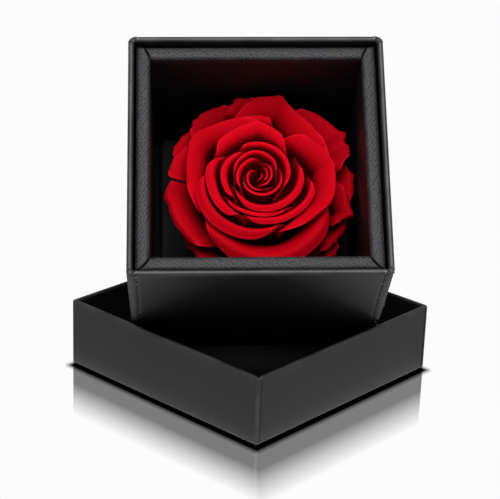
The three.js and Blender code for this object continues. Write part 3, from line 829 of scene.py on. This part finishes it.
# The rose's heart: the trimmed stem, the swollen hip and the cone that carries the petals, dyed
# dark red with the flower. It stands through the insert's hole.
ROSE_X = 1.0
HEART_PROFILE = (
    (0.0, 2.5), (3.9, 2.5), (4.2, 2.9), (4.0, 5.2), (5.0, 6.6), (8.2, 8.0), (10.6, 9.6), (11.9, 11.2),
    (9.4, 19.0), (6.2, 28.4), (3.0, 37.0), (1.0, 43.5), (0.0, 45.4)
)
HEART_ROWS = 48
HEART_COLUMNS = 60
HEART_LOBES = 5
LOBE_DEPTH = 0.05
LOBE_TWIST = 0.12
HEART_RIBS = 17
RIB_DEPTH = 0.02


def catmull(points, places):
    """Points on the smooth curve through a list of points, at places counted in points."""
    points = np.asarray(points, float)
    last = len(points) - 1
    at = np.minimum(np.asarray(places, float).astype(int), last - 1)
    t = (np.asarray(places, float) - at)[:, None]
    ends = np.concatenate([[2 * points[0] - points[1]], points, [2 * points[-1] - points[-2]]])
    a, b, c, d = (ends[at + k] for k in range(4))
    square, cube = 2 * a - 5 * b + 4 * c - d, 3 * b - a - 3 * c + d
    return 0.5 * (2 * b + (c - a) * t + square * t ** 2 + cube * t ** 3)


def heart_mesh():
    """The profile turned round the rose's axis, with slightly twisted lobes and fine ribs."""
    profile = catmull(HEART_PROFILE, np.linspace(0.25, len(HEART_PROFILE) - 1.25, HEART_ROWS))
    count = HEART_COLUMNS
    turn = np.arange(count) * 2 * math.pi / count
    ribs = RIB_DEPTH * np.sin(HEART_RIBS * turn) ** 2
    rows = []
    for radius, height in profile:
        lobes = LOBE_DEPTH * (0.5 + 0.5 * np.sin(HEART_LOBES * turn + height * LOBE_TWIST))
        around = radius * (1 - lobes - ribs)
        x, y = ROSE_X + around * np.cos(turn), around * np.sin(turn)
        rows.append(np.stack([x, y, np.full(count, height)], 1))
    points = np.concatenate(rows + [[[ROSE_X, 0, HEART_PROFILE[0][1]]], [[ROSE_X, 0, HEART_PROFILE[-1][1]]]])
    faces = loft_faces(len(rows), count)
    low, last = len(rows) * count, (len(rows) - 1) * count
    for c in range(count):
        d = (c + 1) % count
        faces.append((low, d, c))
        faces.append((low + 1, last + c, last + d))
    return mesh_object("dried_heart", points, faces, box_place)


def heart_material():
    """Dark red, mottled with brown, and rough."""
    made, tree, shader = new_material("dyed flower base")
    place = add_node(tree, "ShaderNodeTexCoord").outputs["Object"]
    mottle = noise(tree, place, 300.0, 5.0)
    tone = between(tree, mottle, (0.07, 0.008, 0.006, 1), (0.16, 0.022, 0.014, 1))
    tree.links.new(tone, shader.inputs["Base Color"])
    raise_relief(tree, shader, mottle, 0.5, 0.0003)
    shader.inputs["Roughness"].default_value = 0.8
    return made


heart = heart_mesh()
heart.data.materials.append(heart_material())
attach(heart, "root")
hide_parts("rose_heart")


# The petals: soft preserved rose petals in deep red, each a thin velvety sheet that grows from the
# heart, cups upwards and turns outwards at its lip, where its margin is thinnest. They are wrapped
# round each other from the tight bud to the open skirt, the outer ones lower.
# Each petal: its name, top, flare, droop, crest, cut at its two sides, lean, and its rim as pairs
# of azimuth in degrees and reach from the rose's axis.
PETALS = [
    ("heart", 62.4, 0.6, 0.1, 0.4, (3, 2), 0, [
        (-120, 2.0), (-80, 1.7), (-29, 1.4), (30, 1.6), (60, 2.3)]),
    ("curl", 62.8, 0.8, 0.1, 0.4, (3, 2), 0, [
        (-83, 3.3), (-34, 3.3), (5, 3.6), (40, 4.1), (72, 4.9)]),
    ("bud_left", 62.8, 1, 0.2, 0.4, (2, 4), 0, [
        (112, 2.8), (139, 3.9), (165, 4.6), (190, 5.0), (216, 5.6), (250, 6.3), (290, 6.8), (330, 6.9)]),
    ("bud_right", 63.2, 1, 0.2, 0.4, (4, 2), 0, [
        (-110, 4.9), (-81, 4.8), (-48, 4.9), (-15, 5.2), (15, 5.5), (45, 6.0), (85, 6.3)]),
    ("bud_front", 63.4, 1.2, 0.3, 0.5, (4, 4), 0, [
        (168, 6.2), (202, 7.2), (229, 8.0), (266, 8.7), (298, 9.3), (331, 9.5), (368, 9.4), (388, 9.6)]),
    ("bud_back", 63.9, 1.6, 0.3, 0.5, (3, 4), 0, [
        (84, 7.6), (104, 7.7), (123, 7.9), (144, 8.2), (164, 8.6), (190, 9.2), (216, 10.2), (232, 11.0)]),
    ("bud_outer", 64.1, 1.4, 0.3, 0.5, (5, 4), 0, [
        (-24, 8.0), (0, 7.8), (24, 8.0), (46, 8.8), (64, 9.4), (82, 10.0), (100, 10.6), (130, 10.6),
        (160, 10.7), (185, 10.8), (200, 11.0)]),
    ("ring_left", 63.7, 2.6, 0.6, 0.6, (5, 6), 0, [
        (96, 12.2), (123, 13.2), (141, 13.9), (157, 14.7), (172, 15.2), (186, 15.2), (198, 15.1),
        (213, 15.1), (224, 15.3), (234, 15.7)]),
    ("ring_back", 64.2, 2, 0.6, 0.5, (5, 6), 0, [
        (-60, 12.1), (-38, 12.0), (-15, 12.0), (8, 12.5), (28, 13.2), (50, 13.7), (75, 13.9),
        (100, 14.1), (113, 14.4), (124, 14.7), (132, 14.8)]),
    ("ring_front", 63.2, 3.2, 0.9, 0.65, (5, 6), 0, [
        (196, 13.0), (211, 13.0), (231, 13.4), (250, 14.4), (271, 15.2), (288, 15.9), (305, 16.4),
        (322, 17.0), (338, 17.6), (353, 18.0), (367, 18.2), (380, 18.3), (393, 18.7)]),
    ("ring_low", 62.2, 1.6, 0.6, 0.5, (6, 6), 0, [
        (205, 16.6), (215, 16.7), (226, 16.8), (240, 16.7), (256, 16.7), (270, 17.0), (284, 17.4),
        (298, 18.0), (311, 18.6), (320, 18.8)]),
    ("ring_west", 63.4, 4, 1, 0.7, (7, 9), 0, [
        (137, 16.6), (151, 18.4), (161, 20.0), (172, 20.9), (184, 21.1), (196, 21.1), (210, 21.2),
        (224, 21.1), (236, 21.1), (246, 21.0), (254, 20.9)]),
    ("ring_south", 62.6, 3, 1, 0.6, (8, 8), 0, [
        (243, 18.9), (250, 19.4), (259, 19.8), (270, 20.1), (282, 20.7), (295, 21.4), (310, 22.0),
        (325, 22.7), (339, 23.1), (349, 22.8), (357, 22.0), (366, 21.2)]),
    ("cup_back", 64.4, 5, 0.3, 0.12, (6, 8), 0, [
        (30, 16.5), (43, 17.6), (54, 18.7), (64, 19.9), (74, 20.8), (84, 21.8), (91, 22.7), (99, 22.3),
        (109, 22.1), (119, 21.9), (128, 21.7), (137, 21.4), (146, 21.3), (156, 22.0), (166, 22.9)]),
    ("cup_front", 61.8, 5, 2, 0.75, (9, 6), 0, [
        (170, 24.2), (177, 24.4), (185, 25.0), (195, 25.8), (206, 26.4), (216, 26.8), (228, 27.0),
        (240, 26.8), (252, 26.6), (264, 26.1), (275, 25.5), (286, 24.8), (297, 24.2)]),
    ("wide_left", 60, 7.4, 0.7, 0.14, (9, 3), -2.2, [
        (70, 24.6), (80, 25.2), (88, 25.8), (100, 26.8), (110, 27.7), (121, 28.7), (132, 30.3),
        (141, 32.2), (149, 31.9), (157, 30.6), (167, 29.4), (178, 28.7), (188, 28.5), (200, 28.6),
        (210, 29.4)]),
    ("wide_right", 61, 8, 0.8, 0.14, (3, 10), 0, [
        (288, 26.2), (297, 26.2), (307, 26.4), (317, 27.1), (327, 28.2), (336, 29.8), (346, 30.7),
        (358, 30.7), (366, 30.8), (371, 31.2), (377, 30.0), (386, 28.6), (396, 27.2), (406, 26.2),
        (414, 25.1), (422, 23.6), (430, 22.2)]),
    ("wide_front", 57.8, 10, 3.2, 0.4, (7, 9), 0, [
        (214, 31.0), (225, 31.4), (236, 32.0), (246, 33.0), (257, 34.4), (270, 35.6), (283, 36.4),
        (294, 36.2), (303, 35.4), (312, 34.8), (322, 34.0), (331, 32.8), (339, 31.6), (347, 30.8)]),
    ("wide_back", 58, 9, 1, 0.14, (8, 7), -1.2, [
        (6, 32.8), (14, 33.2), (28, 32.2), (39, 31.8), (48, 32.4), (55, 33.2), (63, 34.4), (70, 36.4),
        (75, 38.8), (80, 37.8), (86, 37.2), (90, 37.0), (94, 35.4), (100, 34.2), (107, 33.2),
        (114, 32.4)]),
    ("tuck_back", 58.2, 4, 0.8, 0.14, (7, 7), 0, [
        (74, 27.4), (82, 28.4), (90, 28.8), (98, 28.7), (106, 28.5)]),
    ("side_west", 53.5, 8, 1.2, 0.14, (7, 2), 0, [
        (136, 33.2), (142, 33.0), (147, 33.3), (152, 34.0), (158, 35.2), (164, 36.0), (170, 36.5),
        (174.5, 36.0)]),
    ("skirt_west", 50.5, 10.6, 1.6, 0.2, (2, 11), -1, [
        (175.7, 36.0), (180, 37.2), (186, 38.2), (190, 36.9), (195, 36.6), (201, 36.3), (208, 36.0),
        (215, 35.8), (222, 35.6), (230, 35.6), (238, 35.8)]),
    ("skirt_north_west", 51, 7, 1, 0.14, (5, 6), 0, [
        (103, 39.8), (109, 39.4), (114, 39.2), (119, 39.8), (125, 39.9), (130, 39.4), (134, 38.2),
        (138, 37.0), (144, 36.6)]),
    ("skirt_north", 54, 5.5, 1, 0.2, (4, 4), 0, [
        (87, 38.4), (93, 38.6), (98, 39.2), (102, 39.0), (106, 37.4), (111, 36.0)]),
    ("skirt_north_east", 52.5, 10, 1.6, 0.14, (6, 6), 0, [
        (13, 38.4), (18, 38.8), (21, 40.4), (25, 41.0), (29, 40.4), (33, 43.0), (37, 41.3), (45, 41.1),
        (52, 40.2), (58, 39.4), (64, 38.6), (70, 38.4)]),
    ("skirt_south_east", 49, 7, 2, 0.2, (5, 6), 0, [
        (-28, 36.0), (-22, 36.4), (-19, 37.8), (-16, 39.6), (-11, 38.0), (-6, 36.8), (0, 36.0),
        (7, 35.6)]),
    ("skirt_east", 45.5, 7, 1.5, 0.2, (5, 5), 0, [
        (-12, 38.4), (-5, 38.4), (0, 38.8), (5, 39.4), (9, 39.8), (12, 39.6), (16, 39.2), (23, 38.8)]),
    ("low_north_west", 46.5, 6, 1.5, 0.2, (4, 5), 0, [
        (128, 39.0), (135, 39.0), (141, 39.2), (146, 39.6), (151, 38.8), (158, 38.4)]),
    ("low_south_east", 42.5, 5, 2, 0.2, (4, 4), 0, [
        (-44, 36.6), (-36, 36.6), (-30, 37.2), (-25, 37.8), (-20, 38.2), (-14, 38.2)]),
    ("low_south_west", 43, 7, 2, 0.2, (4, 4), 0, [
        (204, 34.4), (210, 35.0), (218, 35.4), (227, 35.7), (237, 36.0), (248, 36.0), (260, 36.0)]),
    ("low_south", 39.5, 6, 2, 0.3, (4, 4), 0, [
        (250, 38.8), (260, 38.9), (272, 39.0), (284, 38.6), (296, 37.8), (306, 37.2)]),
    ("low_front", 36.5, 4.5, 1.5, 0.3, (3, 3), 0, [
        (294, 39.6), (303, 39.0), (313, 38.4), (321, 38.4), (326, 39.0), (331, 38.4)]),
]
# The share of its flare that a petal keeps at its two sides, for those that keep other than a half
SIDES = {
    "wide_right": (0.3, 0.5),
    "wide_front": (0.75, 0.5),
    "side_west": (0.7, 0.85),
    "skirt_west": (1.25, 0.85),
    "low_south_west": (0.85, 0.7),
}
# The petals' seats on the heart: the radius and height they start from, and how far they go out
# and down for each millimetre of a petal's reach, first for inner petals and then for outer ones
SEAT_RADIUS = 0.6
SEAT_HEIGHT = 46.0
SEAT_SPREAD = (0.30, 0.15)
SEAT_DROP = (0.85, 0.45)
INNER_REACH = 20.0
FULL_HEIGHT = 62.0
LOW_PETAL_REACH = 0.9
# Belly and cheek, as shares of the way from the seat to the shoulder
BELLY = (0.70, 0.30)
CHEEK = (0.93, 0.68)
SHOULDER_SLOPE = 0.5
SHOULDER_DROP = 0.6
SIDE_SHARE = 0.28
COLUMN_WIDTH = 0.6
COLUMN_LIMITS = (36, 150)
ROW_LIMITS = (26, 42)
BUD_THICKNESS = 0.24
SKIRT_THICKNESS = 0.42
SKIRT_REACH = 32.0
MARGIN_SHARE = 0.62
EDGE_SHARE = 0.6
RIPPLE = 0.011
RIPPLE_TURNS = (1.0, 2.6)
RAGGED_DEPTH = 0.22
RAGGED_TURNS = (2.5, 7.0)
# How far painted shade reaches in from the margin, as a share of the petal's size
PAINTED_SHADE_SHARE = 0.5
# The width of the painted highlight along a petal's margin
MARGIN_HIGHLIGHT_WIDTH = 0.45
# Painted light by petal size: brighter for the bud against its own shadow, darker for the outer petals that
# sit in shade
PAINTED_LIGHT_BY_REACH = ((5.0, 18.0, 28.0, 38.0), (1.14, 1.1, 0.94, 0.8))
FIRST_SEED = 100


def seat(reach, top):
    """Where a petal starts on the heart: inner ones near its tip, outer and lower ones near its foot."""
    rank = reach + LOW_PETAL_REACH * max(FULL_HEIGHT - top, 0)
    inner = min(rank, INNER_REACH)
    outer = max(rank - INNER_REACH, 0)
    radius = SEAT_RADIUS + SEAT_SPREAD[0] * inner + SEAT_SPREAD[1] * outer
    height = SEAT_HEIGHT - SEAT_DROP[0] * inner - SEAT_DROP[1] * outer
    return np.array([radius, height])


def petal_profile(foot, reach, top, flare, droop, crest):
    """Foot, belly, cheek, shoulder, crest and margin of a petal, as radius and height."""
    shoulder = np.array([reach - flare, top - SHOULDER_SLOPE * flare - SHOULDER_DROP])
    way = shoulder - foot
    return [
        foot,
        foot + way * BELLY,
        foot + way * CHEEK,
        shoulder,
        (reach - crest * flare, top),
        (reach, top - droop),
    ]


def slow_waves(chance, across, turns):
    """A sum of three sines along the margin, each with a random length and phase."""
    waves = [(chance.uniform(*turns), chance.uniform(0, 2 * math.pi), chance.normal()) for _ in range(3)]
    return sum(size * np.sin(2 * math.pi * turn * across + phase) for turn, phase, size in waves) / 2


def petal_sheet(top, flare, droop, crest, cut, lean, rim, sides, across, fractions, chance):
    """The middle of a petal as columns of points from its foot to its margin, and their lengths."""
    curve = catmull(rim, across * (len(rim) - 1))
    size = rim[:, 1].mean()
    wave = slow_waves(chance, across, RIPPLE_TURNS)
    ragged = RAGGED_DEPTH * slow_waves(chance, across, RAGGED_TURNS) * (rim[:, 1].min() > SKIRT_REACH)
    sheet = np.empty((len(across), len(fractions), 3))
    length = np.empty((len(across), len(fractions)))
    for j, share in enumerate(across):
        azimuth, reach = math.radians(curve[j, 0]), curve[j, 1]
        full = math.sin(math.pi * share)
        side = sides[0] + (sides[1] - sides[0]) * share
        flare_here = flare * (full + (1 - full) * side)
        top_here = top + lean * (2 * share - 1)
        profile = petal_profile(seat(reach, top), reach, top_here, flare_here, droop, crest)
        line = catmull(profile, np.linspace(0, 5, 101))
        travel = np.r_[0, np.cumsum(np.hypot(*np.diff(line, axis=0).T))]
        start = max(1 - share / SIDE_SHARE, 0) ** 2
        end = max(1 - (1 - share) / SIDE_SHARE, 0) ** 2
        at = fractions * (travel[-1] - cut[0] * start - cut[1] * end)
        grow_here = fractions ** 3 * size * RIPPLE
        radius = np.interp(at, travel, line[:, 0]) + wave[j] * grow_here * 0.5 + ragged[j] * fractions ** 8
        height = np.interp(at, travel, line[:, 1]) + wave[j] * grow_here
        sheet[j] = np.stack([ROSE_X + radius * math.cos(azimuth), radius * math.sin(azimuth), height], 1)
        length[j] = at
    return sheet, length


def sheet_faces(columns, rows):
    """The faces of a sheet with two sides, whose points are column after column, outer side first."""
    count = columns * rows
    faces = []
    for j in range(columns - 1):
        for r in range(rows - 1):
            a = j * rows + r
            b, c, d = a + rows, a + rows + 1, a + 1
            faces.append((a, b, c, d))
            faces.append((count + a, count + d, count + c, count + b))
    for j in range(columns - 1):
        a, b = j * rows, (j + 1) * rows
        faces.append((a, count + a, count + b, b))
        a, b = a + rows - 1, b + rows - 1
        faces.append((a, b, count + b, count + a))
    last = (columns - 1) * rows
    for r in range(rows - 1):
        faces.append((count + r, r, r + 1, count + r + 1))
        faces.append((last + r, count + last + r, count + last + r + 1, last + r + 1))
    return faces


def petal_mesh(name, top, flare, droop, crest, cut, lean, rim, sides, seed):
    """A petal: its sheet, made thick, and the values that its material reads: painted shade by distance from
    the margin (lip), a painted highlight along the margin (margin) and painted light by size (tone).
    """
    rim = np.array(rim, float)
    steps = np.diff(rim, axis=0)
    rim_length = np.sum(np.hypot(np.radians(steps[:, 0]) * rim[1:, 1], steps[:, 1]))
    columns = int(np.clip(rim_length / COLUMN_WIDTH, *COLUMN_LIMITS))
    rows = int(np.clip(24 + rim_length / 6, *ROW_LIMITS))
    across = np.linspace(0, 1, columns)
    fractions = np.linspace(0, 1, rows)
    fractions = fractions ** 0.7 * 0.8 + fractions * 0.2
    sheet, length = petal_sheet(
        top, flare, droop, crest, cut, lean, rim, sides, across, fractions, np.random.default_rng(seed))
    normal = np.cross(np.gradient(sheet, axis=0), np.gradient(sheet, axis=1))
    normal /= np.linalg.norm(normal, axis=2, keepdims=True)
    size = rim[:, 1].mean()
    body = BUD_THICKNESS + (SKIRT_THICKNESS - BUD_THICKNESS) * min(size / SKIRT_REACH, 1)
    thick = body * (1 - (1 - MARGIN_SHARE) * fractions ** 4)
    thick[-1] *= EDGE_SHARE
    outer = sheet + normal * (thick / 2)[None, :, None]
    inner = sheet - normal * (thick / 2)[None, :, None]
    points = np.concatenate([outer.reshape(-1, 3), inner.reshape(-1, 3)])
    uv = np.stack([np.repeat(across * rim_length, rows), length.ravel()], 1)
    uv = np.concatenate([uv, uv])
    made = mesh_object(name, points, sheet_faces(columns, rows), box_place, None, uv, sharp=80)
    inside = (length[:, -1:] - length).ravel()
    # Painted shade by distance from the margin
    store(made.data, "lip", np.tile(np.clip(1 - inside / (PAINTED_SHADE_SHARE * size), 0, 1), 2))
    # A painted highlight along the margin
    store(made.data, "margin", np.tile(np.exp(-(inside / MARGIN_HIGHLIGHT_WIDTH) ** 2), 2))
    # Painted light by petal size
    store(made.data, "tone", np.full(len(points), np.interp(size, *PAINTED_LIGHT_BY_REACH)))
    return made


def velvet_petal():
    """Deep red with faint veins and a nap; painted shade darkens it towards the foot, a painted highlight
    brightens the margin, and painted light by size brightens the bud and darkens the outer petals.
    """
    made, tree, shader = new_material("velvet petal")
    place = add_node(tree, "ShaderNodeUVMap", uv_map="UVMap").outputs["UV"]
    stretch = add_node(tree, "ShaderNodeMapping", {"Vector": place, "Scale": (1.1, 0.09, 1.0)})
    veins = noise(tree, stretch.outputs["Vector"], 1.0, 4.0, 0.4)
    vein_tone = remap(tree, veins, (0.35, 0.7), 0.92, 1.04)
    # Painted shade: darker from the margin towards the foot, standing in for the shade deep between the
    # petals
    out_of_painted_shade = remap(tree, stored(tree, "lip"), (0.0, 0.9), 0.0, 1.0, interpolation_type="SMOOTHSTEP")
    depth = between(tree, out_of_painted_shade, (0.3, 0.0, 0.003, 1), (0.84, 0.0003, 0.012, 1))
    # Painted light by size scales the colour, with the real veins
    veins_and_painted_shade = scaled(tree, depth, calculate(tree, "MULTIPLY", vein_tone, stored(tree, "tone")))
    # Painted highlight: the margin is paler, for the light its rounded edge catches
    margin_highlighted = between(tree, stored(tree, "margin"), veins_and_painted_shade, (0.95, 0.005, 0.028, 1))
    tree.links.new(margin_highlighted, shader.inputs["Base Color"])
    raise_relief(tree, shader, noise(tree, place, 6.0, 5.0), 0.3, 0.0003)
    shader.inputs["Roughness"].default_value = 0.6
    shader.inputs["Specular IOR Level"].default_value = 0.04
    shader.inputs["Sheen Weight"].default_value = 0.1
    shader.inputs["Sheen Roughness"].default_value = 0.4
    shader.inputs["Sheen Tint"].default_value = (1.0, 0.02, 0.08, 1)
    shader.inputs["Subsurface Weight"].default_value = 0.1
    shader.inputs["Subsurface Radius"].default_value = (1.0, 0.1, 0.1)
    shader.inputs["Subsurface Scale"].default_value = 0.001
    return made


VELVET_PETAL = velvet_petal()
for order, (name, *shape) in enumerate(PETALS):
    petal = petal_mesh(f"velvet_{name}", *shape, SIDES.get(name, (0.5, 0.5)), FIRST_SEED + order)
    petal.data.materials.append(VELVET_PETAL)
    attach(petal, "root")
    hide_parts(f"petal_{name}")
